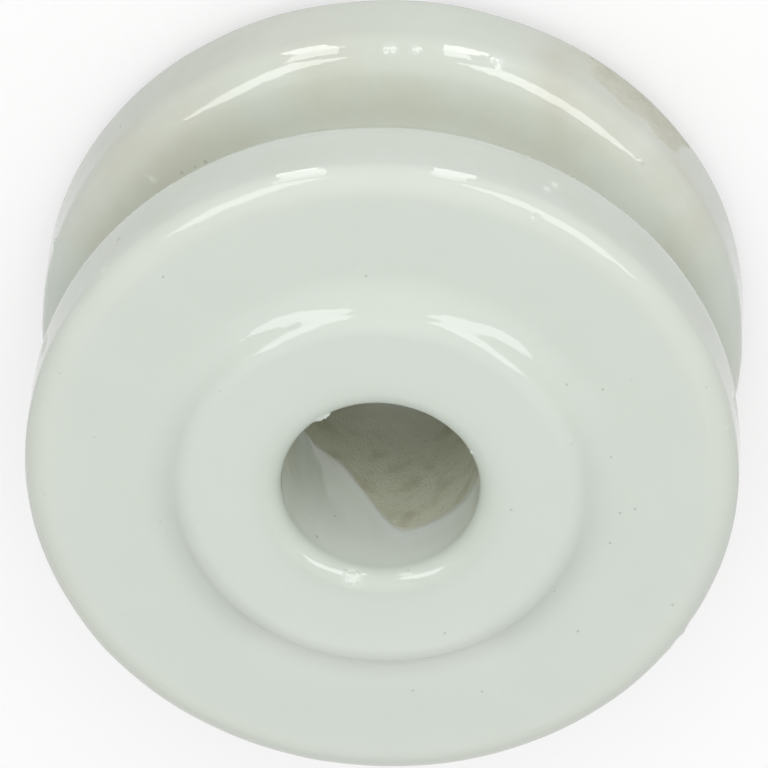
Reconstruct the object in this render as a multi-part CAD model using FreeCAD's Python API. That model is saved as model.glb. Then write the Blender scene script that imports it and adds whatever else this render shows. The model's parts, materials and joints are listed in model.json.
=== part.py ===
"""Glazed porcelain corner insulator for an electric fence.

The body is a short spool, turned and fired in one piece. A tie wire or a bolt
goes through the bore, and the fence wire runs round the groove between the two
flanges. Each flange carries a low round boss, the face that bears on a washer.

Lengths are in millimetres. +Z runs along the bore, and the origin is the
middle of the bore at the lower end face, on which the insulator stands.
"""

import FreeCAD
import Part
import math
import os

# Overall size
FLANGE_DIAMETER = 45.0
OVERALL_WIDTH = 25.8

# Bore for the tie wire or bolt
BORE_DIAMETER = 12.5
BORE_MOUTH_RADIUS = 1.25

# Boss that stands on each flange, measured half way up its sloping side
BOSS_DIAMETER = 26.4
BOSS_HEIGHT = 1.7
BOSS_SIDE_ANGLE = 48.0
BOSS_EDGE_RADIUS = 2.4
BOSS_FOOT_RADIUS = 2.4

# Flanges and their rims. Towards the face a rim has a soft shoulder, which
# turns through the shoulder angle before the tighter edge takes over.
FLANGE_THICKNESS = 7.0
RIM_SHOULDER_RADIUS = 2.5
RIM_SHOULDER_ANGLE = 42.0
RIM_EDGE_RADIUS = 0.8
RIM_GROOVE_RADIUS = 2.5

# Wire groove, whose floor is a full round between two drafted walls
GROOVE_FLOOR_DIAMETER = 32.0
GROOVE_WALL_DRAFT = 12.0

PARTS_FOLDER = "parts"
SHORTEST_EDGE = 1e-6


def unit(vector):
    """Return a copy of the vector with length one."""
    copy = FreeCAD.Vector(vector)
    copy.normalize()
    return copy


def half_angle_at(points, index):
    """Return half the angle between the two sides that meet at a corner."""
    to_before = points[index - 1] - points[index]
    to_after = points[(index + 1) % len(points)] - points[index]
    return to_before.getAngle(to_after) / 2


def tangent_lengths(points, roundings):
    """Return how far each rounding reaches along the two sides of its corner.

    Where a side is too short for the roundings at its two ends, both shrink.
    """
    wanted = [
        rounding / math.tan(half_angle_at(points, index))
        for index, rounding in enumerate(roundings)
    ]
    room = []
    for index, point in enumerate(points):
        side = points[index - 1].distanceToPoint(point)
        room.append(min(1, side / (wanted[index - 1] + wanted[index])))
    return [
        length * min(room[index], room[(index + 1) % len(points)])
        for index, length in enumerate(wanted)
    ]


def rounded_outline(corners):
    """Return a closed wire in the XZ plane through rounded corners.

    Each corner is its distance from the axis, its height and its rounding.
    """
    points = [FreeCAD.Vector(distance, 0, height) for distance, height, _ in corners]
    reaches = tangent_lengths(points, [rounding for _, _, rounding in corners])
    arcs = []
    for index, (corner, reach) in enumerate(zip(points, reaches)):
        to_before = unit(points[index - 1] - corner)
        to_after = unit(points[(index + 1) % len(points)] - corner)
        half_angle = half_angle_at(points, index)
        radius = reach * math.tan(half_angle)
        to_middle = radius / math.sin(half_angle) - radius
        middle = corner + unit(to_before + to_after) * to_middle
        arcs.append((corner + to_before * reach, middle, corner + to_after * reach))
    edges = []
    for index, (start, middle, end) in enumerate(arcs):
        last_end = arcs[index - 1][2]
        if last_end.distanceToPoint(start) > SHORTEST_EDGE:
            edges.append(Part.LineSegment(last_end, start).toShape())
        edges.append(Part.Arc(start, middle, end).toShape())
    return Part.Wire(edges)


def section_corners():
    """Return the corners of the half section, up the bore and down outside."""
    bore_radius = BORE_DIAMETER / 2
    flange_radius = FLANGE_DIAMETER / 2
    floor_radius = GROOVE_FLOOR_DIAMETER / 2

    # Heights in the upper half are counted from the middle of the groove
    end_height = OVERALL_WIDTH / 2
    face_height = end_height - BOSS_HEIGHT
    groove_edge_height = face_height - FLANGE_THICKNESS

    # The sloping side of the boss spreads evenly about the boss diameter
    half_spread = BOSS_HEIGHT / math.tan(math.radians(BOSS_SIDE_ANGLE)) / 2
    boss_edge = BOSS_DIAMETER / 2 - half_spread
    boss_foot = BOSS_DIAMETER / 2 + half_spread

    # Shoulder and edge meet on a slope that their roundings use up
    shoulder = math.radians(RIM_SHOULDER_ANGLE)
    shoulder_reach = RIM_SHOULDER_RADIUS * math.tan(shoulder / 2)
    edge_reach = RIM_EDGE_RADIUS * math.tan(math.pi / 4 - shoulder / 2)
    slope_length = shoulder_reach + edge_reach
    shoulder_distance = flange_radius - slope_length * math.cos(shoulder)
    edge_height = face_height - slope_length * math.sin(shoulder)

    # The floor's rounding fills the whole width that the drafted walls leave
    draft = math.radians(GROOVE_WALL_DRAFT)
    groove_depth = flange_radius - floor_radius
    floor_height = groove_edge_height - groove_depth * math.tan(draft)
    floor_rounding = floor_height / math.tan(math.pi / 4 - draft / 2)

    half = [
        (bore_radius, end_height, BORE_MOUTH_RADIUS),
        (boss_edge, end_height, BOSS_EDGE_RADIUS),
        (boss_foot, face_height, BOSS_FOOT_RADIUS),
        (shoulder_distance, face_height, RIM_SHOULDER_RADIUS),
        (flange_radius, edge_height, RIM_EDGE_RADIUS),
        (flange_radius, groove_edge_height, RIM_GROOVE_RADIUS),
        (floor_radius, floor_height, floor_rounding),
    ]
    upper = [(distance, end_height + height, rounding) for distance, height, rounding in half]
    lower = [(distance, end_height - height, rounding) for distance, height, rounding in half]
    return upper + lower[::-1]


def insulator_body():
    """Return the spool, its half section turned about the bore's axis."""
    section = Part.Face(rounded_outline(section_corners()))
    axis_point = FreeCAD.Vector(0, 0, 0)
    axis_direction = FreeCAD.Vector(0, 0, 1)
    return section.revolve(axis_point, axis_direction, 360)


def main():
    """Build the body, report its volume and write its STEP file."""
    os.makedirs(PARTS_FOLDER, exist_ok=True)
    body = insulator_body()
    body.exportStep(os.path.join(PARTS_FOLDER, "insulator_body.step"))
    print("insulator_body", body.ShapeType, body.isValid(), round(body.Volume, 1), "mm3")


main()
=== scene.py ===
"""Glazed porcelain corner insulator for an electric fence, dressed for its picture.

The spool stands on its lower end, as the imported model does. One skin takes the
place of the plain turned body: it follows the same section, and carries what the
turning leaves out, such as the ripple of the glaze, the glaze's edge in the bore,
the bare patch on the lower rim, and the chips and beads from the kiln.

Lengths are in metres in the shared frame. +Z runs along the bore, and azimuths
are in degrees about it, counted from +X towards +Y.
"""

from __future__ import annotations

import json
import logging
import math
from dataclasses import dataclass
from enum import Enum

import bpy
import numpy as np
from mathutils import Matrix, Vector, noise


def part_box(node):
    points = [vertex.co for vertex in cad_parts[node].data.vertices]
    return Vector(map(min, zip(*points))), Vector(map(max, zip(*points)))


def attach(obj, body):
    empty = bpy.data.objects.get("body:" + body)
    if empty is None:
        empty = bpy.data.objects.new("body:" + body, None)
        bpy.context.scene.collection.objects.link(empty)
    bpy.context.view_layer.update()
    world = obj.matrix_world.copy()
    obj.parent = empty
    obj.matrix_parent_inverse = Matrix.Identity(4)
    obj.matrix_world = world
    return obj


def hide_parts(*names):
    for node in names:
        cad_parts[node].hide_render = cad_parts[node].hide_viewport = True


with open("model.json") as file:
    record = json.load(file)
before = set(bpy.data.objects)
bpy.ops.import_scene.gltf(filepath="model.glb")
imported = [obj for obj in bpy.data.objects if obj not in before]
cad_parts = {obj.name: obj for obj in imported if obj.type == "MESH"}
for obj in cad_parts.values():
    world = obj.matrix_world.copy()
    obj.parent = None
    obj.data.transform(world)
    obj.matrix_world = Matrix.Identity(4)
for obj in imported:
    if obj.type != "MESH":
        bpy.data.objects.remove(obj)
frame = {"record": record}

MM = 0.001
BODY_NODE = "insulator_body"
PHOTO_SIZE = 768

# How far a card and a gleam lie above the floor
CARD_HEIGHT = 0.1 * MM
GLEAM_HEIGHT = 0.2 * MM

# A colour as linear red, green, blue and opacity, and one end of a link in a material
Paint = tuple[float, float, float, float]
Socket = bpy.types.NodeSocket

log = logging.getLogger("corner_insulator")


def smooth_step(values: np.ndarray, low: float, high: float) -> np.ndarray:
    """Ease values from 0 at the low end to 1 at the high end.

    Args:
        values: The values to ease.
        low: The value that gives 0.
        high: The value that gives 1.

    Returns:
        The eased values, between 0 and 1.
    """
    share = np.clip((values - low) / (high - low), 0, 1)
    return share * share * (3 - 2 * share)


def turn_between(azimuths: np.ndarray, middle: float) -> np.ndarray:
    """Find how far azimuths lie from a middle one.

    Args:
        azimuths: Azimuths in degrees.
        middle: The azimuth to count from, in degrees.

    Returns:
        The signed turns in degrees, between -180 and 180.
    """
    return (azimuths - middle + 180) % 360 - 180


def heading(azimuth: float, elevation: float = 0.0) -> Vector:
    """Find the direction of an azimuth and an elevation.

    Args:
        azimuth: The azimuth in degrees.
        elevation: The angle above the floor in degrees.

    Returns:
        The direction, one metre long.
    """
    turn, tilt = math.radians(azimuth), math.radians(elevation)
    flat = math.cos(tilt)
    return Vector((flat * math.cos(turn), flat * math.sin(turn), math.sin(tilt)))


def turn_onto(along: Vector, sideways: Vector, facing: Vector) -> Matrix:
    """Return the turn that lays +X, +Y and +Z along three directions."""
    return Matrix((along, sideways, facing)).transposed().to_4x4()


def add_object(name: str, data: bpy.types.ID) -> bpy.types.Object:
    """Add an object to the scene.

    Args:
        name: The object's name.
        data: Its mesh, lamp or camera.

    Returns:
        The new object.
    """
    added = bpy.data.objects.new(name, data)
    bpy.context.collection.objects.link(added)
    return added


class Zone(Enum):
    """The stretches of the skin that differ in how thickly the glaze lies."""

    BORE = "bore"
    MOUTH = "mouth"
    BOSS = "boss"
    BOSS_FOOT = "boss foot"
    FACE = "face"
    RIM = "rim"
    RIM_SIDE = "side of the upper rim"
    LOWER_RIM = "rim of the lower flange"
    WALL = "groove wall"
    FLOOR = "groove floor"


class Layer(Enum):
    """What can lie on the skin, with the painted light and painted shade carried by it, by the name of the
    value painted for it.
    """

    THIN = "thin"
    POOLED = "pooled"
    SOILED = "soiled"
    DULLED = "dulled"
    SHELTERED = "sheltered"


@dataclass(frozen=True)
class GlazeCover:
    """How the glaze lies on one zone, each from 0 to 1.

    Attributes:
        thin: How far the glaze has drawn thin, which lets the cream body show.
        pooled: How thickly the glaze lies in hollows, which makes it greener and darker; on the side of the
            upper rim this darker glaze is painted shade, and at the mouth partly so.
        soiled: How far handling and weather have left a beige layer; on the side of the upper rim it is
            painted shade, and at the mouth partly so.
        dulled: How far weather has taken the glaze's shine.
        sheltered: How far the colour is lightened as painted light; the bore takes all of it, and there it
            also picks the bore's bare body and how much dirt settles.
    """

    thin: float
    pooled: float
    soiled: float
    dulled: float = 0.0
    sheltered: float = 0.0


COVERS = {
    # The whole bore is lightened as painted light
    Zone.BORE: GlazeCover(thin=0.0, pooled=0.1, soiled=0.1, sheltered=1.0),
    # The mouth's greener, darker glaze is partly painted shade
    Zone.MOUTH: GlazeCover(thin=0.0, pooled=1.0, soiled=0.3, dulled=0.3),
    Zone.BOSS: GlazeCover(thin=0.15, pooled=0.1, soiled=0.0, dulled=1.0),
    Zone.BOSS_FOOT: GlazeCover(thin=0.0, pooled=0.15, soiled=0.05, dulled=1.0),
    Zone.FACE: GlazeCover(thin=0.1, pooled=0.2, soiled=0.05, dulled=1.0),
    Zone.RIM: GlazeCover(thin=0.8, pooled=0.0, soiled=0.1, dulled=1.0),
    # The side of the upper rim is darkened as painted shade
    Zone.RIM_SIDE: GlazeCover(thin=0.0, pooled=0.6, soiled=0.4, dulled=1.0),
    Zone.LOWER_RIM: GlazeCover(thin=0.7, pooled=0.0, soiled=0.2),
    Zone.WALL: GlazeCover(thin=0.2, pooled=0.2, soiled=0.4),
    Zone.FLOOR: GlazeCover(thin=0.1, pooled=0.5, soiled=0.8),
}

# The zones that have another cover on the lower flange
LOWER_ZONES = {Zone.RIM: Zone.LOWER_RIM, Zone.RIM_SIDE: Zone.LOWER_RIM}


@dataclass(frozen=True)
class Corner:
    """A corner of the half section before it is rounded.

    Attributes:
        distance: Distance from the bore's axis.
        height: Height above the middle of the groove, or below it.
        rounding: Radius of the corner's arc.
        zone: The zone that the arc belongs to.
        run: The zone of the straight that leads on to the next corner.
    """

    distance: float
    height: float
    rounding: float
    zone: Zone
    run: Zone

    def mirrored(self, run: Zone) -> Corner:
        """Return the same corner of the lower half, with the straight that follows it."""
        zone = LOWER_ZONES.get(self.zone, self.zone)
        return Corner(self.distance, -self.height, self.rounding, zone, LOWER_ZONES.get(run, run))


@dataclass(frozen=True)
class Stretch:
    """One straight or arc of the section, walked up the bore and down outside.

    Attributes:
        start: Where it begins, as distance from the axis and height.
        end: Where it ends.
        centre: The arc's centre, or None for a straight.
        zone: The zone it belongs to.
        rings: How many rings of faces lie along it.
    """

    start: Vector
    end: Vector
    centre: Vector | None
    zone: Zone
    rings: int

    def at(self, share: float) -> tuple[Vector, Vector]:
        """Find a point of the stretch and the outward direction there.

        Args:
            share: How far along, from 0 to 1.

        Returns:
            The point and the unit normal, both as distance and height.
        """
        if self.centre is None:
            eased = (1 - math.cos(math.pi * share)) / 2
            along = (self.end - self.start).normalized()
            return self.start.lerp(self.end, eased), Vector((-along.y, along.x))
        first = self.start - self.centre
        turn = first.angle_signed(self.end - self.centre)
        spoke = first @ Matrix.Rotation(turn * share, 2)
        bulge = 1 if turn > 0 else -1
        return self.centre + spoke, spoke.normalized() * bulge


@dataclass(frozen=True)
class SpoolSection:
    """The spool's section, with the body's own driving sizes.

    The bore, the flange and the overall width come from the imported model, and
    the fields hold the rest. Angles are in degrees. The two steps are how much
    of an arc and of a straight one ring of faces takes.
    """

    bore_radius: float
    flange_radius: float
    width: float
    mouth_radius: float = 1.25 * MM
    boss_radius: float = 13.2 * MM
    boss_height: float = 1.7 * MM
    boss_side_angle: float = 48.0
    boss_edge_radius: float = 1.8 * MM
    boss_foot_radius: float = 3.0 * MM
    flange_thickness: float = 7.0 * MM
    shoulder_radius: float = 2.0 * MM
    shoulder_angle: float = 42.0
    rim_edge_radius: float = 1.23 * MM
    rim_groove_radius: float = 2.5 * MM
    groove_floor_radius: float = 16.0 * MM
    groove_draft: float = 12.0
    arc_step: float = 6.5
    straight_step: float = 0.62 * MM

    @classmethod
    def from_frame(cls) -> SpoolSection:
        """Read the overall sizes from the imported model.

        Returns:
            The section with those sizes.
        """
        low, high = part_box(BODY_NODE)
        bore = next(mount for mount in frame["record"]["mounts"] if mount["name"] == "bore")
        return cls(
            bore_radius=bore["dims"]["r_mm"] * MM,
            flange_radius=(high[0] - low[0]) / 2,
            width=high[2] - low[2],
        )

    @property
    def face_height(self) -> float:
        """Height of the upper flange's flat face above the floor."""
        return self.width - self.boss_height

    def corners(self) -> list[Corner]:
        """Work out the corners of the section.

        Returns:
            The corners in order, from the upper end of the bore outwards and down.
        """
        end = self.width / 2
        face = end - self.boss_height
        groove_edge = face - self.flange_thickness
        half_spread = self.boss_height / math.tan(math.radians(self.boss_side_angle)) / 2

        shoulder = math.radians(self.shoulder_angle)
        shoulder_reach = self.shoulder_radius * math.tan(shoulder / 2)
        edge_reach = self.rim_edge_radius * math.tan(math.pi / 4 - shoulder / 2)
        slope = shoulder_reach + edge_reach

        draft = math.radians(self.groove_draft)
        depth = self.flange_radius - self.groove_floor_radius
        floor = groove_edge - depth * math.tan(draft)
        floor_rounding = floor / math.tan(math.pi / 4 - draft / 2)

        rim = self.flange_radius
        shoulder_distance = rim - slope * math.cos(shoulder)
        edge_height = face - slope * math.sin(shoulder)
        boss_edge = self.boss_radius - half_spread
        boss_foot = self.boss_radius + half_spread
        upper = [
            Corner(self.bore_radius, end, self.mouth_radius, Zone.MOUTH, Zone.BOSS),
            Corner(boss_edge, end, self.boss_edge_radius, Zone.BOSS, Zone.BOSS_FOOT),
            Corner(boss_foot, face, self.boss_foot_radius, Zone.BOSS_FOOT, Zone.FACE),
            Corner(shoulder_distance, face, self.shoulder_radius, Zone.RIM, Zone.RIM),
            Corner(rim, edge_height, self.rim_edge_radius, Zone.RIM, Zone.RIM_SIDE),
            Corner(rim, groove_edge, self.rim_groove_radius, Zone.RIM_SIDE, Zone.WALL),
            Corner(self.groove_floor_radius, floor, floor_rounding, Zone.FLOOR, Zone.FLOOR),
        ]
        runs_back = [Zone.BORE] + [corner.run for corner in upper[:-1]]
        lower = [corner.mirrored(run) for corner, run in zip(upper, runs_back)]
        return upper + lower[::-1]

    def stretches(self) -> list[Stretch]:
        """Round the corners and join them.

        Returns:
            The section's arcs and straights in order, round the closed loop.
        """
        corners = self.corners()
        middle = self.width / 2
        points = [Vector((corner.distance, middle + corner.height)) for corner in corners]
        halves = []
        for index, point in enumerate(points):
            to_before = points[index - 1] - point
            to_after = points[(index + 1) % len(points)] - point
            halves.append(to_before.angle(to_after) / 2)
        wanted = [corner.rounding / math.tan(half) for corner, half in zip(corners, halves)]
        room = [
            min(1, (points[index - 1] - point).length / (wanted[index - 1] + wanted[index]))
            for index, point in enumerate(points)
        ]
        arcs = []
        for index, point in enumerate(points):
            reach = wanted[index] * min(room[index], room[(index + 1) % len(points)])
            to_before = (points[index - 1] - point).normalized()
            to_after = (points[(index + 1) % len(points)] - point).normalized()
            radius = reach * math.tan(halves[index])
            centre = point + (to_before + to_after).normalized() * (radius / math.sin(halves[index]))
            turn = 180 - math.degrees(2 * halves[index])
            rings = math.ceil(turn / self.arc_step)
            start, end = point + to_before * reach, point + to_after * reach
            arcs.append(Stretch(start, end, centre, corners[index].zone, rings))
        path = []
        shortest = self.straight_step / 100
        for index, arc in enumerate(arcs):
            path.append(arc)
            following = arcs[(index + 1) % len(arcs)]
            length = (following.start - arc.end).length
            if length > shortest:
                rings = max(1, round(length / self.straight_step))
                path.append(Stretch(arc.end, following.start, None, corners[index].run, rings))
        return path


@dataclass(frozen=True)
class RingTable:
    """The section read off at every fine ring, once round the closed loop.

    Attributes:
        distance: Distance of each ring from the axis.
        height: Height of each ring above the floor.
        out: The outward normal's share away from the axis.
        up: The outward normal's share along +Z.
        covers: Each layer's value at each ring, softened along the skin.
    """

    distance: np.ndarray
    height: np.ndarray
    out: np.ndarray
    up: np.ndarray
    covers: dict[Layer, np.ndarray]

    @classmethod
    def read(cls, section: SpoolSection, splits: int, blend: float) -> RingTable:
        """Read a section off, with every ring of faces split into finer ones.

        Args:
            section: The section to read.
            splits: How many fine rings one ring of faces is split into.
            blend: How far along the skin one zone's glaze fades into the next.

        Returns:
            The filled table.
        """
        points = []
        normals = []
        zones = []
        for stretch in section.stretches():
            for step in range(stretch.rings * splits):
                point, normal = stretch.at(step / (stretch.rings * splits))
                points.append(point)
                normals.append(normal)
                zones.append(stretch.zone)
        place = np.array(points)
        facing = np.array(normals)
        gaps = np.linalg.norm(np.roll(place, -1, axis=0) - place, axis=1)
        walked = np.concatenate([[0], np.cumsum(gaps)])
        whole = walked[-1]
        away = np.abs(walked[:-1, None] - walked[None, :-1])
        away = np.minimum(away, whole - away)
        weights = np.exp(-0.5 * (away / blend) ** 2) * (gaps + np.roll(gaps, 1))
        weights /= weights.sum(axis=1, keepdims=True)
        covers = {
            layer: weights @ np.array([getattr(COVERS[zone], layer.value) for zone in zones])
            for layer in Layer
        }
        return cls(place[:, 0], place[:, 1], facing[:, 0], facing[:, 1], covers)


@dataclass(frozen=True)
class Spot:
    """A place on the skin, by its azimuth, distance from the axis and height."""

    azimuth: float
    distance: float
    height: float

    def point(self) -> np.ndarray:
        """Return the place as a point in the shared frame."""
        turn = math.radians(self.azimuth)
        return np.array((self.distance * math.cos(turn), self.distance * math.sin(turn), self.height))


def at_mm(azimuth: float, distance: float, height: float) -> Spot:
    """Return a spot from its azimuth, and its distance and height in millimetres."""
    return Spot(azimuth, distance * MM, height * MM)


@dataclass(frozen=True)
class Mark:
    """A small raised or sunken mark on the skin.

    Attributes:
        spot: The middle of the mark.
        radius: How far it reaches.
        rise: How far it stands out of the skin, or below 0 how deep it is.
        edge: The share of the radius over which it falls away, from 0 to 1.
    """

    spot: Spot
    radius: float
    rise: float
    edge: float = 1.0

    def lift(self, points: np.ndarray) -> np.ndarray:
        """Return how far the mark lifts the skin at each point."""
        away = np.linalg.norm(points - self.spot.point(), axis=1) / self.radius
        return self.rise * (1 - smooth_step(away, 1 - self.edge, 1))


@dataclass(frozen=True)
class Ripple:
    """The soft unevenness of a hand-dipped glaze.

    Attributes:
        wavelength: Typical distance between two swells.
        height: How high a swell stands.
        seed: Chooses one pattern of swells.
    """

    wavelength: float
    height: float
    seed: float

    def lift(self, points: np.ndarray) -> np.ndarray:
        """Find how far the ripple lifts the skin.

        Args:
            points: Points on the plain turned skin.

        Returns:
            The lift of each point.
        """
        shift = Vector((self.seed, -self.seed, self.seed / 2))
        swells = [noise.noise(Vector(point) / self.wavelength + shift) for point in points]
        return np.array(swells) * self.height


@dataclass(frozen=True)
class GlazeRun:
    """A run of glaze that went further down the bore than the rest.

    Attributes:
        azimuth: The run's middle.
        half_width: Turn from the middle to where the run starts to fall back.
        shoulder: Turn over which it falls back to the common edge.
        extra: How much further it reaches.
    """

    azimuth: float
    half_width: float
    shoulder: float
    extra: float

    def reach(self, azimuths: np.ndarray) -> np.ndarray:
        """Return how much further the glaze reaches at each azimuth."""
        away = np.abs(turn_between(azimuths, self.azimuth))
        return self.extra * (1 - smooth_step(away, self.half_width, self.half_width + self.shoulder))


@dataclass(frozen=True)
class BareBore:
    """The unglazed middle of the bore, between the glaze's two edges.

    Attributes:
        bore_radius: The bore's radius.
        width: The insulator's overall width.
        reach: How deep the glaze goes from each end.
        edge_waver: How the glaze's edge wanders.
        skin_share: The share of the bore's radius within which the skin is the bore's.
        top_runs: Runs of glaze from the upper end.
        bottom_runs: Runs of glaze from the lower end.
    """

    bore_radius: float
    width: float
    reach: float = 5.4 * MM
    edge_waver: Ripple = Ripple(wavelength=4 * MM, height=0.3 * MM, seed=11.3)
    skin_share: float = 1.2
    top_runs: tuple[GlazeRun, ...] = (
        GlazeRun(azimuth=25, half_width=36, shoulder=48, extra=6.9 * MM),
        GlazeRun(azimuth=262, half_width=8, shoulder=40, extra=1.5 * MM),
    )
    bottom_runs: tuple[GlazeRun, ...] = (
        GlazeRun(azimuth=150, half_width=12, shoulder=50, extra=2.5 * MM),
    )

    def bareness(self, points: np.ndarray) -> np.ndarray:
        """Find how far inside the bare middle points lie.

        Args:
            points: Points on the plain turned skin.

        Returns:
            The distance of each point from the glaze's edge, below 0 on the glaze.
        """
        azimuths = np.degrees(np.arctan2(points[:, 1], points[:, 0]))
        wander = self.edge_waver.lift(points)
        top = self.width - points[:, 2] - self.reach + wander
        bottom = points[:, 2] - self.reach - wander
        for run in self.top_runs:
            top = top - run.reach(azimuths)
        for run in self.bottom_runs:
            bottom = bottom - run.reach(azimuths)
        inside = self.bore_radius * self.skin_share - np.hypot(points[:, 0], points[:, 1])
        return np.minimum(np.minimum(top, bottom), inside)


@dataclass(frozen=True)
class BarePatch:
    """A rough patch on a rim where the glaze never took.

    Attributes:
        spot: The middle of the patch.
        half_length: Half its length round the rim.
        half_height: Half its extent across the rim.
        edge_waver: How its edge wanders.
    """

    spot: Spot
    half_length: float
    half_height: float
    edge_waver: Ripple = Ripple(wavelength=2.2 * MM, height=1.1 * MM, seed=4.7)

    def bareness(self, points: np.ndarray) -> np.ndarray:
        """Find how far inside the patch points lie.

        Args:
            points: Points on the plain turned skin.

        Returns:
            The distance of each point from the patch's edge, below 0 outside it.
        """
        azimuths = np.degrees(np.arctan2(points[:, 1], points[:, 0]))
        along = np.radians(turn_between(azimuths, self.spot.azimuth)) * self.spot.distance
        outward = np.hypot(points[:, 0], points[:, 1]) - self.spot.distance
        across = np.hypot(outward, points[:, 2] - self.spot.height)
        spread = np.hypot(along / self.half_length, across / self.half_height)
        return (1 - spread) * self.half_height + self.edge_waver.lift(points)


@dataclass(frozen=True)
class Relief:
    """All that lifts or lowers the skin, and where it is bare.

    Attributes:
        ripples: The glaze's swells.
        marks: Chips, beads, dents and bumps.
        bore: Where the bore is bare.
        patch: Where the lower rim is bare.
        glaze_thickness: How far the glaze stands above the bare body in the bore.
        patch_depth: How far the patch lies below the glaze round it.
        roll_height: How much thicker the glaze is just behind its edge in the bore.
        roll_width: How wide that thicker roll is.
        edge_span: Bareness where the glaze starts to give way, and where none is left.
        patch_span: Bareness where the patch starts to sink, and where it lies deepest.
    """

    ripples: tuple[Ripple, ...]
    marks: tuple[Mark, ...]
    bore: BareBore
    patch: BarePatch
    glaze_thickness: float = 0.04 * MM
    patch_depth: float = 0.025 * MM
    roll_height: float = 0.045 * MM
    roll_width: float = 1.5 * MM
    edge_span: tuple[float, float] = (-0.45 * MM, 0.35 * MM)
    patch_span: tuple[float, float] = (-0.4 * MM, 0.4 * MM)

    def bareness(self, points: np.ndarray) -> np.ndarray:
        """Return how far inside a bare place each point lies, below 0 on the glaze."""
        return np.maximum(self.bore.bareness(points), self.patch.bareness(points))

    def lift(self, points: np.ndarray, bareness: np.ndarray) -> np.ndarray:
        """Find how far the skin is lifted at each point.

        Args:
            points: Points on the plain turned skin.
            bareness: How far inside a bare place each of them lies.

        Returns:
            The lift of each point, outward from the body.
        """
        in_bore = self.bore.bareness(points)
        glazed = 1 - smooth_step(bareness, *self.edge_span)
        roll = np.sin(math.pi * np.sqrt(np.clip(-in_bore / self.roll_width, 0, 1))) * self.roll_height
        lift = roll * glazed - self.glaze_thickness * smooth_step(in_bore, *self.edge_span)
        lift = lift - self.patch_depth * smooth_step(self.patch.bareness(points), *self.patch_span)
        for ripple in self.ripples:
            lift = lift + ripple.lift(points) * glazed
        for mark in self.marks:
            lift = lift + mark.lift(points)
        return lift

    def needs_detail(self, points: np.ndarray, margin: float) -> np.ndarray:
        """Find where the skin needs smaller faces.

        Args:
            points: The middles of the faces.
            margin: How close to an edge or a mark counts as near.

        Returns:
            True for each face that is near a glaze edge or a mark.
        """
        near = np.abs(self.bareness(points)) < margin
        for mark in self.marks:
            away = np.linalg.norm(points - mark.spot.point(), axis=1)
            near |= away < mark.radius + margin / 2
        return near


@dataclass(frozen=True)
class Speck:
    """A dark speck of iron in the glaze.

    Attributes:
        spot: The middle of the speck.
        radius: How far it reaches.
    """

    spot: Spot
    radius: float = 0.09 * MM


@dataclass(frozen=True)
class Stain:
    """A soft local change of one layer.

    Attributes:
        spot: The middle of the stain.
        reach: How far it spreads.
        strength: How much it adds in the middle; no layer goes above 1.
        layer: The layer that it adds to.
    """

    spot: Spot
    reach: float
    strength: float
    layer: Layer = Layer.SOILED

    def cover(self, points: np.ndarray) -> np.ndarray:
        """Return how strongly the stain covers each point."""
        away = np.linalg.norm(points - self.spot.point(), axis=1) / self.reach
        return self.strength * np.exp(-(away**2))


@dataclass(frozen=True)
class ShaderBench:
    """A material's node tree, with short calls to lay nodes on it.

    Attributes:
        material: The material being made.
    """

    material: bpy.types.Material

    @classmethod
    def named(cls, name: str) -> ShaderBench:
        """Start a new material.

        Args:
            name: The material's name.

        Returns:
            The bench for it, with nothing on it yet.
        """
        material = bpy.data.materials.new(name)
        material.use_nodes = True
        material.node_tree.nodes.clear()
        return cls(material)

    def node(self, kind: str, inputs: dict | None = None, **settings: object) -> bpy.types.Node:
        """Lay one node.

        Args:
            kind: The node's type name.
            inputs: For each input, by name or number, a value or the socket to link.
            **settings: The node's own settings.

        Returns:
            The new node.
        """
        node = self.material.node_tree.nodes.new(kind)
        for name, value in settings.items():
            setattr(node, name, value)
        for name, value in (inputs or {}).items():
            if isinstance(value, Socket):
                self.material.node_tree.links.new(value, node.inputs[name])
            else:
                node.inputs[name].default_value = value
        return node

    def math(self, operation: str, *values: object) -> Socket:
        """Lay a Math node over values or sockets and return its result."""
        return self.node("ShaderNodeMath", dict(enumerate(values)), operation=operation).outputs[0]

    def attribute(self, name: str) -> Socket:
        """Read one of the skin's painted values."""
        return self.node("ShaderNodeAttribute", attribute_name=name).outputs["Fac"]

    def noise(self, place: Socket, size: float, detail: float = 2.0) -> Socket:
        """Lay soft noise whose blotches are about the given size in millimetres."""
        inputs = {"Vector": place, "Scale": 1 / size, "Detail": detail}
        return self.node("ShaderNodeTexNoise", inputs).outputs["Fac"]

    def ramp(
        self, value: Socket, span: tuple[float, float], result: tuple[float, float] = (0.0, 1.0)
    ) -> Socket:
        """Ease a value from one range to another.

        Args:
            value: The value to ease.
            span: The values at the two ends of its range.
            result: What the two ends become.

        Returns:
            The eased value.
        """
        inputs = {
            "Value": value, "From Min": span[0], "From Max": span[1], "To Min": result[0], "To Max": result[1]
        }
        return self.node("ShaderNodeMapRange", inputs, interpolation_type="SMOOTHSTEP").outputs["Result"]

    def blend(self, share: object, first: object, second: object) -> Socket:
        """Blend two colours.

        Args:
            share: How much of the second colour shows.
            first: The first colour or socket.
            second: The second colour or socket.

        Returns:
            The blended colour.
        """
        node = self.node("ShaderNodeMix", data_type="RGBA")
        colours = [socket for socket in node.inputs if socket.type == "RGBA"]
        for socket, value in zip([node.inputs["Factor"], *colours], (share, first, second)):
            if isinstance(value, Socket):
                self.material.node_tree.links.new(value, socket)
            else:
                socket.default_value = value
        return next(socket for socket in node.outputs if socket.type == "RGBA")


def paint(red: float, green: float, blue: float) -> Paint:
    """Return an opaque colour from its linear red, green and blue."""
    return (red, green, blue, 1.0)


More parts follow.
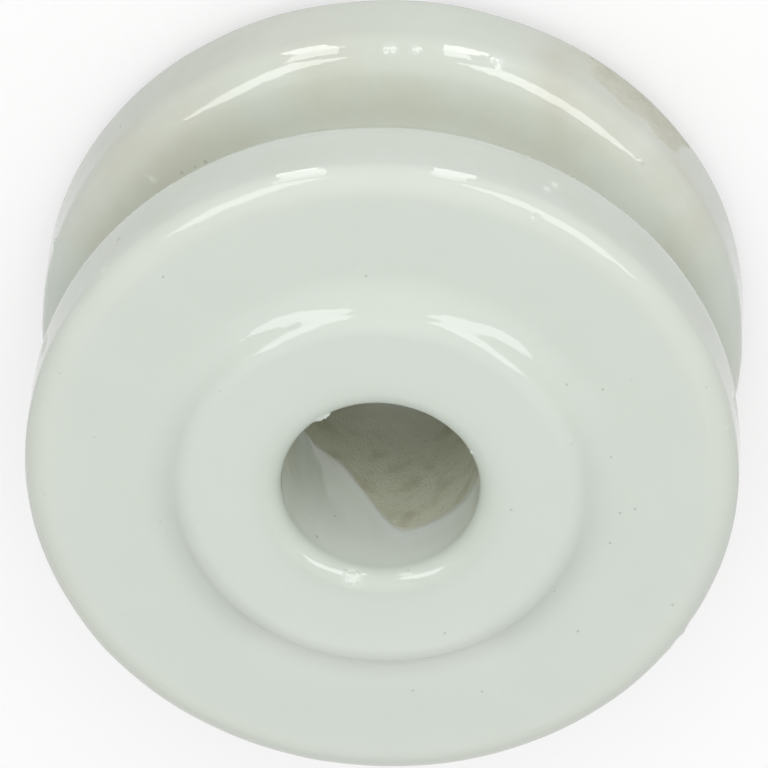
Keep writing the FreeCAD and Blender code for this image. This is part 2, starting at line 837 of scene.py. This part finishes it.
@dataclass(frozen=True)
class PorcelainFinish:
    """White glaze over a cream body, with what bare body shows.

    Attributes:
        glaze: The glaze where it lies evenly.
        thin_glaze: The glaze where it is drawn thin over an edge.
        pooled_glaze_and_shade: The glaze where it lies thick in a hollow, and the same darker glaze painted
            as shade.
        film_and_shade: The beige that handling and weather leave, and the same colour painted as shade.
        painted_light_glaze: The glaze lightened as painted light, in the bore and on a few spots elsewhere.
        rolled_glaze_and_light: The thick roll behind the glaze's edge in the bore, made lighter as painted
            light on its slope.
        bisque: The bare fired body on a rim.
        bore_bisque: The bare fired body in the bore.
        painted_light_bisque: The bare fired body deep in the bore, lightened as painted light.
        bisque_dirt: What has settled in the bare body.
        speck: Iron specks.
        glaze_roughness: Roughness of the glaze.
        bisque_roughness: Roughness of the bare body.
        glaze_index: Refractive index of the glaze.
        shine: Specular level of fresh glaze, and of glaze that weather has dulled.
        edge_fade: Bareness, in millimetres, at which bare body starts and is all there is.
        roll_fade: Bareness, in millimetres, at which the thick roll starts and is full.
        bisque_light_fade: Heights, in millimetres, at which that painted light on the bare body starts and
            stops fading.
        speck_density: Cells along a millimetre, each with one tiny scattered speck.
        scattered_fade: Where a scattered speck starts to fade and ends, as shares of a cell.
        placed_fade: Where a speck that has a place starts to fade and ends, as shares of its radius.
        scattered_strength: How far a scattered speck hides the glaze in its middle.
        placed_strength: The same for a speck that has a place of its own.
        peel: Wavelength and depth, in millimetres, of the glaze's fine unevenness.
        grain: The same for the grain of the bare body.
        pit_depth: How deep a speck lies in the glaze, in millimetres.
    """

    glaze: Paint = paint(0.655, 0.705, 0.640)
    thin_glaze: Paint = paint(0.692, 0.724, 0.654)
    pooled_glaze_and_shade: Paint = paint(0.580, 0.650, 0.590)
    film_and_shade: Paint = paint(0.600, 0.610, 0.520)
    painted_light_glaze: Paint = paint(0.780, 0.825, 0.758)
    rolled_glaze_and_light: Paint = paint(0.820, 0.860, 0.830)
    bisque: Paint = paint(0.665, 0.672, 0.572)
    bore_bisque: Paint = paint(0.675, 0.680, 0.555)
    painted_light_bisque: Paint = paint(0.870, 0.885, 0.755)
    bisque_dirt: Paint = paint(0.510, 0.505, 0.385)
    speck: Paint = paint(0.200, 0.180, 0.130)
    glaze_roughness: float = 0.035
    bisque_roughness: float = 0.75
    glaze_index: float = 1.5
    shine: tuple[float, float] = (0.5, 0.32)
    edge_fade: tuple[float, float] = (-0.50, 0.45)
    roll_fade: tuple[float, float] = (-1.9, -0.8)
    bisque_light_fade: tuple[float, float] = (4.5, 11.0)
    speck_density: float = 0.42
    scattered_fade: tuple[float, float] = (0.012, 0.036)
    placed_fade: tuple[float, float] = (0.3, 1.5)
    scattered_strength: float = 0.25
    placed_strength: float = 0.35
    peel: tuple[float, float] = (1.1, 0.020)
    grain: tuple[float, float] = (0.18, 0.10)
    pit_depth: float = 0.03

    def speck_mask(self, bench: ShaderBench, place: Socket, specks: tuple[Speck, ...]) -> Socket:
        """Lay the nodes that tell specks from clean glaze.

        Args:
            bench: The bench to lay them on.
            place: The place on the skin, in millimetres.
            specks: The specks that have a place of their own.

        Returns:
            How far specks hide the glaze, and 0 off them.
        """
        cells = bench.node("ShaderNodeTexVoronoi", {"Vector": place, "Scale": self.speck_density})
        mask = bench.ramp(cells.outputs["Distance"], self.scattered_fade, (self.scattered_strength, 0.0))
        for speck in specks:
            middle = tuple(speck.spot.point() / MM)
            span = tuple(speck.radius / MM * share for share in self.placed_fade)
            away = bench.node("ShaderNodeVectorMath", {0: place, 1: middle}, operation="DISTANCE")
            near = bench.ramp(away.outputs["Value"], span, (self.placed_strength, 0.0))
            mask = bench.math("MAXIMUM", mask, near)
        return mask

    def material(self, specks: tuple[Speck, ...]) -> bpy.types.Material:
        """Make the material.

        Args:
            specks: The specks that have a place of their own.

        Returns:
            The finished material.
        """
        bench = ShaderBench.named("glazed_porcelain_finish")
        coordinates = bench.node("ShaderNodeTexCoord").outputs["Object"]
        scaled = bench.node("ShaderNodeVectorMath", {0: coordinates, "Scale": 1 / MM}, operation="SCALE")
        place = scaled.outputs["Vector"]
        bareness = bench.attribute("bareness")
        sheltered = bench.attribute(Layer.SHELTERED.value)
        specks_here = self.speck_mask(bench, place, specks)

        # Where the glaze ends, with a ragged edge
        edge_grain = bench.math("SUBTRACT", bench.noise(place, size=0.5, detail=3), 0.5)
        ragged = bench.math("MULTIPLY_ADD", edge_grain, 0.5, bareness)
        bare = bench.ramp(ragged, self.edge_fade)

        # The glaze, with each layer broken up by soft blotches; the greener and the beige layers are painted
        # shade in places
        clouds = bench.noise(place, size=9.0, detail=3)
        patches = bench.noise(place, size=4.0, detail=4)
        colour = self.glaze
        covers = {}
        for layer, blotches, least, tint in (
            (Layer.THIN, clouds, 0.5, self.thin_glaze),
            (Layer.POOLED, patches, 0.6, self.pooled_glaze_and_shade),
            (Layer.SOILED, patches, 0.5, self.film_and_shade),
        ):
            broken = bench.ramp(blotches, (0.3, 0.7), (least, 1.0))
            covers[layer] = bench.math("MULTIPLY", bench.attribute(layer.value), broken)
            colour = bench.blend(covers[layer], colour, tint)
        # Painted light: the glaze is lighter in the bore and on a few spots, and lighter still on the roll
        # behind the bore's glaze edge, partly as painted light
        clean = bench.ramp(covers[Layer.SOILED], (0.0, 1.0), (1.0, 0.4))
        near_edge = bench.ramp(bareness, self.roll_fade, (0.0, 0.7))
        colour = bench.blend(bench.math("MULTIPLY", sheltered, clean), colour, self.painted_light_glaze)
        colour = bench.blend(bench.math("MULTIPLY", sheltered, near_edge), colour, self.rolled_glaze_and_light)
        colour = bench.blend(specks_here, colour, self.speck)

        # The bare body, with what has settled in it, and lighter deep in the bore as painted light
        coarse = bench.ramp(bench.noise(place, size=2.2, detail=5), (0.44, 0.72), (0.0, 0.9))
        fine = bench.ramp(bench.noise(place, size=0.55, detail=3), (0.50, 0.72), (0.0, 0.4))
        settled = bench.math("MAXIMUM", coarse, fine)
        settled = bench.math("MULTIPLY", settled, bench.ramp(sheltered, (0.0, 1.0), (0.5, 1.0)))
        along_edge = bench.math("MULTIPLY", sheltered, bench.ramp(ragged, (0.05, 0.55), (0.35, 0.0)))
        height_above = bench.node("ShaderNodeSeparateXYZ", {"Vector": place}).outputs["Z"]
        deep = bench.math("MULTIPLY", sheltered, bench.ramp(height_above, self.bisque_light_fade, (1.0, 0.0)))
        body = bench.blend(sheltered, self.bisque, self.bore_bisque)
        body = bench.blend(bench.math("MAXIMUM", settled, along_edge), body, self.bisque_dirt)
        body = bench.blend(deep, body, self.painted_light_bisque)
        colour = bench.blend(bare, colour, body)

        # The fine relief
        peel_size, peel_depth = self.peel
        grain_size, grain_depth = self.grain
        peel = bench.math("MULTIPLY", bench.noise(place, peel_size, detail=1), peel_depth)
        roughened = bench.math("MULTIPLY", bare, grain_depth)
        grain = bench.math("MULTIPLY", bench.noise(place, grain_size, detail=4), roughened)
        pits = bench.math("MULTIPLY", specks_here, -self.pit_depth)
        height = bench.math("ADD", bench.math("ADD", peel, grain), pits)
        bump = bench.node("ShaderNodeBump", {"Height": height, "Strength": 1.0, "Distance": MM})

        roughness = bench.ramp(bare, (0.0, 1.0), (self.glaze_roughness, self.bisque_roughness))
        shine = bench.ramp(bench.attribute(Layer.DULLED.value), (0.0, 1.0), self.shine)
        shader = bench.node(
            "ShaderNodeBsdfPrincipled",
            {
                "Base Color": colour,
                "Roughness": roughness,
                "IOR": self.glaze_index,
                "Specular IOR Level": shine,
                "Normal": bump.outputs["Normal"],
            },
        )
        bench.node("ShaderNodeOutputMaterial", {"Surface": shader.outputs["BSDF"]})
        return bench.material


@dataclass(frozen=True)
class SkinGrid:
    """The faces of the skin, finer where the relief asks for it.

    Attributes:
        vertices: Each vertex as its fine column and fine ring.
        faces: Each face as the numbers of its vertices.
    """

    vertices: np.ndarray
    faces: list[list[int]]


@dataclass
class InsulatorBody:
    """The spool: its section, its relief and its finish.

    The rows of marks, stains and specks are in millimetres.

    Attributes:
        section: The section that it follows.
        columns: How many columns of faces go round it.
        splits: Into how many fine steps a face can be split, each way.
        glaze_blend: How far along the skin one zone's glaze fades into the next.
        detail_margin: How near an edge asks for finer faces, for each fine step of a face.
        finish: Its finish.
    """

    section: SpoolSection
    columns: int = 272
    splits: int = 4
    glaze_blend: float = 0.7 * MM
    detail_margin: float = 0.18 * MM
    finish: PorcelainFinish = PorcelainFinish()

    def __post_init__(self) -> None:
        """Read the section off once for all that follows."""
        self.table = RingTable.read(self.section, self.splits, self.glaze_blend)
        self.relief = self.make_relief()

    def on_face(self, azimuth: float, distance: float) -> Spot:
        """Return a spot on the upper flange's flat face, from millimetres."""
        return Spot(azimuth, distance * MM, self.section.face_height)

    def on_boss(self, azimuth: float, distance: float) -> Spot:
        """Return a spot on the flat top of the upper boss, from millimetres."""
        return Spot(azimuth, distance * MM, self.section.width)

    def on_rim(self, azimuth: float, height: float) -> Spot:
        """Return a spot on the outermost part of a rim, from millimetres."""
        return Spot(azimuth, self.section.flange_radius, height * MM)

    def in_bore(self, azimuth: float, height: float) -> Spot:
        """Return a spot on the bore's wall, from millimetres."""
        return Spot(azimuth, self.section.bore_radius, height * MM)

    def marks(self) -> tuple[Mark, ...]:
        """List what stands out of the skin or is sunk into it.

        Returns:
            The chips, beads, blisters, bumps and dents.
        """
        mouth = (
            (at_mm(305.3, 6.39, 25.13), 0.34, 0.16, 0.6),
            (at_mm(309.5, 6.39, 25.13), 0.55, 0.20),
            (at_mm(211.5, 6.50, 25.30), 0.24, 0.10),
        )
        blisters = (
            (at_mm(73.9, 6.55, 25.34), 0.20, 0.06, 0.8),
            (at_mm(76.4, 6.62, 25.42), 0.18, 0.07, 0.8),
            (at_mm(78.6, 6.58, 25.40), 0.23, 0.10, 0.8),
            (at_mm(80.9, 6.50, 25.27), 0.20, 0.08, 0.8),
            (at_mm(81.2, 6.88, 25.62), 0.19, 0.06, 0.8),
            (at_mm(78.0, 6.95, 25.66), 0.22, 0.07, 0.8),
            (at_mm(76.0, 6.85, 25.60), 0.15, -0.04, 0.8),
        )
        flanges = (
            (at_mm(152.6, 22.3, 23.3), 0.42, 0.07),
            (at_mm(150.4, 22.3, 23.2), 0.80, -0.04),
            (at_mm(154.8, 22.3, 23.2), 0.80, -0.04),
            (self.on_rim(193, 20.0), 1.4, -0.10),
            (self.on_rim(345, 20.5), 1.1, -0.12),
            (self.on_rim(347, 6.9), 0.5, 0.12),
            (self.on_boss(348.8, 10.5), 0.30, 0.05),
            (self.on_boss(259.2, 9.3), 0.25, 0.04),
            (at_mm(202.4, 12.6, 25.5), 0.25, 0.05),
            (self.on_rim(245.3, 20.5), 0.30, 0.12),
            (self.on_rim(246.7, 21.4), 0.26, 0.11),
            (at_mm(247.5, 21.68, 23.82), 0.36, -0.05),
            (self.on_rim(324.6, 22.6), 0.45, 0.14),
            (self.on_face(36.1, 19.4), 0.25, 0.04),
            (at_mm(194.0, 22.1, 23.5), 0.30, 0.06),
            (at_mm(323.7, 19.77, 9.27), 0.28, 0.12),
            (at_mm(273.9, 22.0, 8.16), 0.46, 0.13),
            (at_mm(269.6, 22.05, 8.09), 0.30, 0.08),
            (at_mm(255.9, 22.2, 7.88), 0.50, 0.10),
            (at_mm(225.9, 21.5, 8.67), 0.22, 0.10),
        )
        rows = (*mouth, *blisters, *flanges)
        return tuple(Mark(spot, radius * MM, rise * MM, *edge) for spot, radius, rise, *edge in rows)

    def make_relief(self) -> Relief:
        """Gather what gives the skin its relief.

        Returns:
            The relief, with its ripples, marks and bare places.
        """
        ripples = (
            Ripple(wavelength=6.5 * MM, height=0.045 * MM, seed=2.1),
            Ripple(wavelength=2.6 * MM, height=0.024 * MM, seed=8.4),
        )
        bore = BareBore(self.section.bore_radius, self.section.width)
        patch = BarePatch(self.on_rim(228.6, 2.8), half_length=4.8 * MM, half_height=3.3 * MM)
        return Relief(ripples, self.marks(), bore, patch)

    def stains(self) -> tuple[Stain, ...]:
        """List where the glaze differs from the rest of its zone, painted light and painted shade among them.

        Returns:
            The stains, layer by layer.
        """
        groove_wall = 8.7
        soiled = (
            (self.on_rim(304, 3.6), 4.5, 0.5),
            (at_mm(323, 21.8, 8.1), 3.2, 0.7),
            (at_mm(338, 21.0, groove_wall), 3.5, 0.6),
            (at_mm(286, 20.4, groove_wall), 3.4, 0.6),
            (at_mm(268, 20.2, groove_wall), 3.4, 0.5),
            (at_mm(313, 20.0, groove_wall), 3.6, 0.6),
            (at_mm(245, 22.3, 7.2), 2.4, 0.8),
            (at_mm(239, 21.9, 8.0), 2.2, 0.6),
            (self.on_rim(240.0, 5.0), 3.2, 1.2),
            (self.on_rim(236.5, 7.0), 2.6, 1.0),
            (self.on_rim(222.0, 6.8), 2.2, 0.5),
            (self.in_bore(28, 18.0), 2.4, 0.5),
            (at_mm(207.5, 21.8, 8.3), 2.8, 0.7),
            (at_mm(217.0, 21.7, 8.4), 2.4, 0.6),
            (at_mm(224.5, 22.0, 8.0), 2.0, 0.4),
        )
        # These darken the glaze as painted shade, in the groove and on the lower rim at either side
        pooled = (
            (at_mm(275, 19.6, groove_wall), 6.0, 0.5),
            (at_mm(318, 20.5, groove_wall), 5.5, 0.8),
            (at_mm(355, 21.6, 8.6), 5.0, 0.9),
            (at_mm(200, 22.3, 6.0), 5.0, 0.8),
        )
        # These lighten the glaze: painted highlights on three beads of the lower rim, a dot in the groove,
        # two chips on the upper rim and the blisters at the mouth, and painted light in the groove at
        # azimuths 212 and 226 and on the side of the boss towards +Y
        sheltered = (
            (at_mm(273.9, 22.1, 8.2), 0.32, 1.3),
            (at_mm(269.6, 22.1, 8.1), 0.24, 1.3),
            (at_mm(255.9, 22.3, 7.9), 0.34, 1.3),
            (at_mm(78.5, 6.65, 25.5), 0.50, 1.0),
            (at_mm(226, 18.8, groove_wall), 3.4, 0.4),
            (at_mm(212, 19.2, groove_wall), 3.4, 0.4),
            (at_mm(323.7, 19.77, 9.27), 0.22, 1.3),
            (self.on_rim(245.3, 20.5), 0.28, 1.2),
            (self.on_rim(246.7, 21.4), 0.24, 1.2),
            *((at_mm(azimuth, 13.4, 24.7), 1.8, 0.45) for azimuth in (66, 77, 88, 99, 110, 121)),
        )
        layers = {Layer.SOILED: soiled, Layer.POOLED: pooled, Layer.SHELTERED: sheltered}
        return tuple(
            Stain(spot, reach * MM, strength, layer)
            for layer, rows in layers.items()
            for spot, reach, strength in rows
        )

    def specks(self) -> tuple[Speck, ...]:
        """List the specks that have a place of their own.

        Returns:
            The specks of the common size, and then the others.
        """
        groove_wall = 9.05
        common = (
            at_mm(192.1, 14.6, 24.15),
            self.on_face(175.9, 15.2),
            self.on_face(177.5, 16.1),
            self.on_face(167.0, 15.1),
            self.on_boss(177.3, 8.3),
            self.on_boss(115.4, 11.1),
            self.on_face(100.9, 16.0),
            self.on_face(115.8, 17.1),
            self.on_face(142.1, 16.7),
            self.on_face(157.9, 20.5),
            self.on_face(210.7, 15.6),
            at_mm(216.8, 13.9, 24.4),
            at_mm(149.0, 13.35, 24.8),
            self.on_face(277.2, 15.1),
            self.on_face(316.4, 20.0),
            at_mm(17.3, 14.3, 24.2),
            at_mm(343.6, 21.4, 23.95),
            at_mm(203.4, 21.6, 23.85),
        )
        others = (
            (at_mm(290.0, 18.1, groove_wall), 0.30),
            (at_mm(276.8, 18.2, groove_wall), 0.22),
            (at_mm(313.0, 18.50, 9.56), 0.13),
            (at_mm(315.4, 18.60, 9.53), 0.08),
            (at_mm(318.3, 18.85, 9.47), 0.11),
            (self.on_rim(321.1, 20.7), 0.16),
            (self.on_rim(324.3, 5.4), 0.14),
            (self.in_bore(47.5, 10.6), 0.36),
            (self.in_bore(53.1, 23.5), 0.13),
            (self.in_bore(64.1, 20.0), 0.10),
        )
        return (*map(Speck, common), *(Speck(spot, radius * MM) for spot, radius in others))

    def place(self, columns: np.ndarray, rings: np.ndarray) -> tuple[np.ndarray, np.ndarray]:
        """Find points on the plain turned skin.

        Args:
            columns: Fine columns round the axis.
            rings: Fine rings along the section.

        Returns:
            The points and the unit normals there.
        """
        turn = columns * (2 * math.pi / (self.columns * self.splits))
        rings = rings % len(self.table.distance)
        away = np.stack([np.cos(turn), np.sin(turn)], axis=1)
        points = np.column_stack([away * self.table.distance[rings, None], self.table.height[rings]])
        normals = np.column_stack([away * self.table.out[rings, None], self.table.up[rings]])
        return points, normals

    def split_cells(self) -> list[tuple[np.ndarray, int]]:
        """Split the faces where the relief asks for it.

        Returns:
            For each size in fine steps, from large to small, the first corners of
            the faces and that size.
        """
        rings = len(self.table.distance) // self.splits
        grid = np.stack(np.meshgrid(np.arange(self.columns), np.arange(rings), indexing="ij"), axis=-1)
        cells = grid.reshape(-1, 2) * self.splits
        size = self.splits
        done = []
        while size > 1:
            middles, _ = self.place(*(cells + size // 2).T)
            finer = self.relief.needs_detail(middles, margin=self.detail_margin * size)
            done.append((cells[~finer], size))
            size //= 2
            steps = np.array([(0, 0), (size, 0), (size, size), (0, size)])
            cells = (cells[finer][:, None] + steps).reshape(-1, 2)
        done.append((cells, size))
        return done

    def make_grid(self) -> SkinGrid:
        """Join the cells into faces that share every vertex on their sides.

        Returns:
            The faces and their vertices.
        """
        around = self.columns * self.splits
        along = len(self.table.distance)
        numbers: dict[tuple[int, int], int] = {}
        loops = []
        for cells, size in self.split_cells():
            for column, ring in cells.tolist():
                sides = []
                for corner, step in (
                    ((column, ring), (1, 0)),
                    ((column + size, ring), (0, 1)),
                    ((column + size, ring + size), (-1, 0)),
                    ((column, ring + size), (0, -1)),
                ):
                    key = (corner[0] % around, corner[1] % along)
                    numbers.setdefault(key, len(numbers))
                    sides.append((corner, step, size))
                loops.append(sides)
        faces = []
        for sides in loops:
            face = []
            for (column, ring), (right, up), size in sides:
                for step in range(size):
                    key = ((column + right * step) % around, (ring + up * step) % along)
                    if key in numbers:
                        face.append(numbers[key])
            faces.append(face[::-1])
        return SkinGrid(np.array(list(numbers)), faces)

    def build(self) -> bpy.types.Object:
        """Build the skin as a mesh in the place of the plain body.

        Returns:
            The new object, with the values painted on it that its finish reads.
        """
        grid = self.make_grid()
        rings = grid.vertices[:, 1]
        points, normals = self.place(grid.vertices[:, 0], rings)
        bareness = self.relief.bareness(points)
        skin = points + normals * self.relief.lift(points, bareness)[:, None]
        skin[:, 2] = np.clip(skin[:, 2], 0, self.section.width)

        mesh = bpy.data.meshes.new("glazed_body")
        mesh.from_pydata(skin.tolist(), [], grid.faces)
        mesh.shade_smooth()
        painted = {layer.value: values[rings] for layer, values in self.table.covers.items()}
        for stain in self.stains():
            painted[stain.layer.value] = np.minimum(painted[stain.layer.value] + stain.cover(points), 1)
        painted["bareness"] = bareness / MM
        for name, values in painted.items():
            mesh.attributes.new(name, "FLOAT", "POINT").data.foreach_set("value", values.astype(np.float32))
        mesh.validate()
        return add_object("glazed_body", mesh)

    def dress(self, body: bpy.types.Object) -> None:
        """Give the skin its finish and its place in the shared frame.

        Args:
            body: The skin.
        """
        body.data.materials.append(self.finish.material(self.specks()))
        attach(body, "root")
        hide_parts(BODY_NODE)


class Role(Enum):
    """What a lamp is for."""

    FILL = "lights the surfaces and leaves no highlight"
    HIGHLIGHT = "shows in the glaze and adds no light of its own"


def add_lamp(name: str, role: Role, place: Matrix, size: tuple[float, float], brightness: float) -> None:
    """Add one flat lamp.

    Args:
        name: The lamp's name.
        role: What it is for.
        place: Where it is and how it is turned; it shines along its own -Z.
        size: Its length and width.
        brightness: Radiance of its face, where a white sheet in plain light has 1.
    """
    lamp = bpy.data.lights.new(name, "AREA")
    lamp.shape = "RECTANGLE"
    lamp.size, lamp.size_y = size
    lamp.energy = brightness * math.pi * lamp.size * lamp.size_y
    holder = add_object(name, lamp)
    holder.matrix_world = place
    holder.visible_camera = False
    holder.visible_glossy = role is Role.HIGHLIGHT
    holder.visible_diffuse = role is Role.FILL


@dataclass(frozen=True)
class StripLamp:
    """A long soft lamp, given by the directions of its two ends from the insulator.

    Attributes:
        name: The lamp's name.
        role: What the lamp is for.
        ends: Azimuth and elevation of each end, in degrees.
        away: Distance from the insulator.
        breadth: Width of the strip.
        brightness: Radiance of its face, where a white sheet in plain light has 1.
    """

    name: str
    role: Role
    ends: tuple[tuple[float, float], tuple[float, float]]
    away: float
    breadth: float
    brightness: float

    def build(self, target: Vector) -> None:
        """Make the lamp.

        Args:
            target: The point that it faces.
        """
        first, last = (heading(*end) * self.away for end in self.ends)
        along = last - first
        middle = (first + last) / 2
        sideways = middle.cross(along).normalized()
        facing = along.normalized().cross(sideways)
        place = Matrix.Translation(target + middle) @ turn_onto(along.normalized(), sideways, facing)
        add_lamp(self.name, self.role, place, (along.length, self.breadth), self.brightness)


@dataclass(frozen=True)
class FloorCard:
    """A wide card on the floor, facing up, that lights the rims from below.

    Attributes:
        name: The card's name.
        azimuth: The direction in which it points away from the insulator, in degrees.
        reach: Distance of its near and its far end from the bore's axis.
        breadth: Its width.
        brightness: Radiance of its face, where a white sheet in plain light has 1.
    """

    name: str
    azimuth: float
    reach: tuple[float, float]
    breadth: float
    brightness: float

    def build(self) -> None:
        """Make the card as a lamp that lies on the floor."""
        along = heading(self.azimuth)
        down = Vector((0, 0, -1))
        near, far = self.reach
        middle = along * (near + far) / 2 + Vector((0, 0, CARD_HEIGHT))
        place = Matrix.Translation(middle) @ turn_onto(along, down.cross(along), down)
        add_lamp(self.name, Role.FILL, place, (far - near, self.breadth), self.brightness)


@dataclass(frozen=True)
class Gleam:
    """A bright wedge on the floor that shows in the glaze of the rims and nowhere else.

    Attributes:
        name: The wedge's name.
        azimuths: The directions of its two sides from the bore's axis, in degrees.
        reach: Distance of its near and its far end from the axis.
        brightness: Radiance of its face, where a white sheet in plain light has 1.
    """

    name: str
    azimuths: tuple[float, float]
    reach: tuple[float, float]
    brightness: float

    def build(self) -> None:
        """Make the wedge just above the floor."""
        first, last = (math.radians(azimuth) for azimuth in self.azimuths)
        near, far = self.reach
        ends = ((near, first), (far, first), (far, last), (near, last))
        corners = [(away * math.cos(turn), away * math.sin(turn), GLEAM_HEIGHT) for away, turn in ends]
        mesh = bpy.data.meshes.new(self.name)
        mesh.from_pydata(corners, [], [(0, 1, 2, 3)])
        wedge = add_object(self.name, mesh)
        wedge.visible_camera = wedge.visible_diffuse = wedge.visible_shadow = False
        bench = ShaderBench.named(self.name)
        glow = bench.node("ShaderNodeEmission", {"Strength": self.brightness})
        bench.node("ShaderNodeOutputMaterial", {"Surface": glow.outputs[0]})
        mesh.materials.append(bench.material)


@dataclass(frozen=True)
class Studio:
    """The white room: floor, even light from all round and the lamps.

    Attributes:
        ambient: Radiance of the room's walls.
        floor_radius: How far the floor reaches.
        floor_share: The floor's own colour, which shadows darken.
        lamps: The strip lamps.
        card: The card on the floor.
        gleams: The bright wedges on the floor.
    """

    ambient: float = 0.655
    floor_radius: float = 4.0
    floor_share: float = 0.48
    lamps: tuple[StripLamp, ...] = (
        StripLamp("strip_plus_x", Role.HIGHLIGHT, ((-65, 26), (-22, 48)), 1.0, 0.28, 4.8),
        StripLamp("strip_minus_x", Role.HIGHLIGHT, ((-110, 28), (-160, 48)), 1.0, 0.28, 4.8),
        StripLamp("low_plus_x", Role.HIGHLIGHT, ((-70, 8), (-58, 7)), 1.0, 0.32, 4.4),
        StripLamp("low_minus_x", Role.HIGHLIGHT, ((-97, 8), (-106, 7)), 1.0, 0.32, 4.4),
        StripLamp("front_fill", Role.FILL, ((-120, 55), (-60, 55)), 1.2, 0.80, 3.15),
        StripLamp("low_fill", Role.FILL, ((-128, 18), (-72, 18)), 1.2, 0.80, 0.50),
    )
    card: FloorCard = FloorCard("card_fill", -92, (28 * MM, 260 * MM), 200 * MM, 0.34)
    gleams: tuple[Gleam, ...] = (
        Gleam("gleam_plus_x", (-62, -71.5), (42 * MM, 940 * MM), 7.0),
        Gleam("gleam_minus_x", (-96, -106), (42 * MM, 940 * MM), 7.0),
    )

    def build(self, target: Vector) -> None:
        """Make the floor, the room's light and the lamps.

        Args:
            target: The point that the strip lamps face.
        """
        self.build_floor()
        world = bpy.data.worlds.new("white_room")
        world.use_nodes = True
        background = world.node_tree.nodes["Background"]
        background.inputs["Color"].default_value = paint(1, 1, 1)
        background.inputs["Strength"].default_value = self.ambient
        bpy.context.scene.world = world
        for lamp in self.lamps:
            lamp.build(target)
        self.card.build()
        for gleam in self.gleams:
            gleam.build()

    def build_floor(self) -> None:
        """Make the floor, which shows white to the lens and keeps the shadow."""
        mesh = bpy.data.meshes.new("floor")
        reach = self.floor_radius
        corners = [(-reach, -reach, 0), (reach, -reach, 0), (reach, reach, 0), (-reach, reach, 0)]
        mesh.from_pydata(corners, [], [(0, 1, 2, 3)])
        floor = add_object("floor", mesh)
        bench = ShaderBench.named("pale_floor")
        paths = bench.node("ShaderNodeLightPath").outputs
        seen = bench.math("MAXIMUM", paths["Is Camera Ray"], paths["Is Glossy Ray"])
        seen = bench.math("MAXIMUM", seen, paths["Is Transmission Ray"])
        matt = bench.node("ShaderNodeBsdfDiffuse", {"Color": paint(*(self.floor_share,) * 3)})
        strength = bench.math("MULTIPLY", seen, 1 - self.floor_share)
        glow = bench.node("ShaderNodeEmission", {"Strength": strength})
        both = bench.node("ShaderNodeAddShader", {0: matt.outputs[0], 1: glow.outputs[0]})
        bench.node("ShaderNodeOutputMaterial", {"Surface": both.outputs[0]})
        mesh.materials.append(bench.material)


@dataclass(frozen=True)
class PhotoCamera:
    """The lens, placed as the photograph shows the insulator.

    Attributes:
        tilt: Angle between the line of sight and the bore, towards -Y.
        roll: Turn about the line of sight from a level picture whose top is -Y.
        away: Distance from the middle of the insulator.
        pixels_per_metre: The picture's scale at that distance.
        middle_column: Where the insulator's middle lies across the picture.
        middle_row: Where it lies down the picture.
        sensor: Width of the sensor in millimetres.
    """

    tilt: float = 32.383
    roll: float = -4.364
    away: float = 0.71025
    pixels_per_metre: float = 15687.0
    middle_column: float = 388.17
    middle_row: float = 385.02
    sensor: float = 36.0

    def build(self, target: Vector) -> None:
        """Make the camera.

        Args:
            target: The point that the fit counts from, in the middle of the insulator.
        """
        tilt = math.radians(self.tilt)
        back = Vector((0, -math.sin(tilt), math.cos(tilt)))
        right = Vector((-1, 0, 0))
        turned = turn_onto(right, back.cross(right), back) @ Matrix.Rotation(math.radians(-self.roll), 4, "Z")
        data = bpy.data.cameras.new("photo_camera")
        data.sensor_width = self.sensor
        data.lens = self.away * self.pixels_per_metre * self.sensor / PHOTO_SIZE
        data.shift_x = (PHOTO_SIZE / 2 - self.middle_column) / PHOTO_SIZE
        data.shift_y = (self.middle_row - PHOTO_SIZE / 2) / PHOTO_SIZE
        data.clip_start = 0.01
        camera = add_object("photo_camera", data)
        camera.matrix_world = Matrix.Translation(target + back * self.away) @ turned
        bpy.context.scene.camera = camera


def main() -> None:
    """Build the insulator, its studio and its camera."""
    logging.basicConfig(level=logging.INFO, format="%(name)s: %(message)s")
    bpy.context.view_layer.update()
    section = SpoolSection.from_frame()
    insulator = InsulatorBody(section)
    body = insulator.build()
    insulator.dress(body)
    triangles = sum(len(face.vertices) - 2 for face in body.data.polygons)
    log.info("%s: %d triangles", body.name, triangles)

    middle = Vector((0, 0, section.width / 2))
    studio = Studio()
    studio.build(middle)
    log.info("studio: floor, card, %d lamps and %d gleams", len(studio.lamps), len(studio.gleams))
    PhotoCamera().build(middle)
    bpy.context.scene.view_settings.view_transform = "Standard"
    log.info("camera: photograph's view")


if __name__ == "__main__":
    main()
